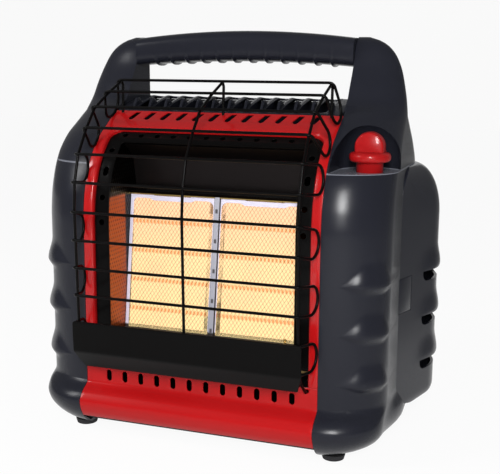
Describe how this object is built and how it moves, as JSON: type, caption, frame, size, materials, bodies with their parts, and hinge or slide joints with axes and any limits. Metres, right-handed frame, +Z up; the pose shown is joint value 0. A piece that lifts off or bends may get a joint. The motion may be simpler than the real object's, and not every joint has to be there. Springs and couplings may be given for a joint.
{
  "type": "portable propane heater",
  "caption": "Portable radiant gas heater with glowing ceramic tiles behind a wire guard, a top carrying handle, a push-and-turn knob and a hinged gas cylinder bay on each rear corner.",
  "frame": {"origin": "centre of the footprint box on the ground, under the rubber feet", "axes": "+X to the right seen from the front (the knob side), +Y back from the guard, +Z up"},
  "size_m": [0.4404, 0.2968, 0.4337],
  "materials": {
    "housing": "charcoal navy moulded plastic, satin",
    "bezel_red": "glossy red enamel on sheet steel",
    "guard_black": "satin black baked enamel",
    "chassis_steel": "plain zinc-coated sheet",
    "reflector_steel": "bright rolled reflector sheet",
    "hood_black": "heat-darkened black sheet",
    "tile_ceramic": null,
    "screen_steel": "stainless frame",
    "clamp_brass": "plain brass-coloured strip",
    "valve_brass": "machined brass",
    "regulator_grey": "cast and dark anodised",
    "knob_red": "smooth red moulding",
    "foot_rubber": "matt black",
    "dark_plastic": "black moulding",
    "igniter_white": "white insulating moulding or glazed ceramic",
    "pin_steel": "bright steel"
  },
  "bodies": {
    "housing": {"air_duct": "chassis_steel", "base_pan": "chassis_steel", "battery_box": "dark_plastic", "burner_manifold": "valve_brass", "centre_strip": "screen_steel", "fan_motor": "dark_plastic", "fan_shroud": "dark_plastic", "front_bezel": "bezel_red", "front_left_foot": "foot_rubber", "front_right_foot": "foot_rubber", "gas_valve": "valve_brass", "guard_plate": "guard_black", "handle_grip": "housing", "heat_shield": "chassis_steel", "inner_frame": "guard_black", "left_burner": "chassis_steel", "left_hinge_pin": "pin_steel", "left_pod": "housing", "left_reflector": "reflector_steel", "left_screen": "screen_steel", "left_side_panel": "chassis_steel", "left_swivel": "chassis_steel", "left_tile": "tile_ceramic", "lower_panel": "bezel_red", "piezo_igniter": "igniter_white", "pilot_burner": "valve_brass", "power_socket": "dark_plastic", "rear_cover": "housing", "rear_left_foot": "foot_rubber", "rear_right_foot": "foot_rubber", "reflector_hood": "hood_black", "right_burner": "chassis_steel", "right_hinge_pin": "pin_steel", "right_pod": "housing", "right_reflector": "reflector_steel", "right_screen": "screen_steel", "right_side_panel": "chassis_steel", "right_swivel": "chassis_steel", "right_tile": "tile_ceramic", "spark_electrode": "igniter_white", "supply_tube": "valve_brass", "thermocouple": "valve_brass", "tile_clamp_bar": "clamp_brass", "tip_switch": "dark_plastic", "top_grille": "housing", "wire_guard": "guard_black"},
    "fan": {"fan_rotor": "dark_plastic"},
    "battery_lid": {"battery_cover": "housing"},
    "switch": {"fan_switch": "knob_red"},
    "push": {"push_collar": "pin_steel"},
    "knob": {"control_knob": "knob_red", "valve_stem": "pin_steel"},
    "door_right": {"right_door": "housing"},
    "door_left": {"left_door": "housing"},
    "latch_right": {"right_latch": "housing"},
    "latch_left": {"left_latch": "housing"},
    "regulator_right": {"right_regulator": "regulator_grey"},
    "regulator_left": {"left_regulator": "regulator_grey"}
  },
  "joints": [
    {"name": "fan_spin", "type": "hinge", "parent": "housing", "child": "fan", "pos_m": [0, 0.12, 0.212], "axis": [0, 1, 0], "continuous": true},
    {"name": "battery_cover_slide", "type": "slide", "parent": "housing", "child": "battery_lid", "axis": [0, 0, 1], "range_m": [0, 0.065]},
    {"name": "fan_switch_rock", "type": "hinge", "parent": "housing", "child": "switch", "pos_m": [0.078, 0.137, 0.212], "axis": [1, 0, 0], "range_deg": [-10, 10]},
    {"name": "knob_push", "type": "slide", "parent": "housing", "child": "push", "axis": [0, 0, -1], "range_m": [0, 0.0045], "stiffness_N_per_m": 700, "springref_m": -0.003},
    {"name": "knob_turn", "type": "hinge", "parent": "push", "child": "knob", "pos_m": [0.165, -0.055, 0.3], "axis": [0, 0, 1], "range_deg": [0, 240]},
    {"name": "right_door_swing", "type": "hinge", "parent": "housing", "child": "door_right", "pos_m": [0.113, 0.1365, 0.127], "axis": [0, 0, 1], "range_deg": [0, 95]},
    {"name": "left_door_swing", "type": "hinge", "parent": "housing", "child": "door_left", "pos_m": [-0.113, 0.1365, 0.127], "axis": [0, 0, 1], "range_deg": [-95, 0]},
    {"name": "right_latch_lift", "type": "hinge", "parent": "door_right", "child": "latch_right", "pos_m": [0.19782, 0.00967, 0.157], "axis": [0, 0, 1], "range_deg": [0, 12]},
    {"name": "left_latch_lift", "type": "hinge", "parent": "door_left", "child": "latch_left", "pos_m": [-0.19782, 0.00967, 0.157], "axis": [0, 0, 1], "range_deg": [-12, 0]},
    {"name": "right_regulator_swing", "type": "hinge", "parent": "housing", "child": "regulator_right", "pos_m": [0.142, 0.005, 0.251], "axis": [0, 0, 1], "range_deg": [-60, 0]},
    {"name": "left_regulator_swing", "type": "hinge", "parent": "housing", "child": "regulator_left", "pos_m": [-0.142, 0.005, 0.251], "axis": [0, 0, 1], "range_deg": [0, 60]}
  ],
  "couplings": [
    {"joint": "right_regulator_swing", "follows": "right_door_swing", "ratio": -0.63},
    {"joint": "left_regulator_swing", "follows": "left_door_swing", "ratio": -0.63}
  ]
}
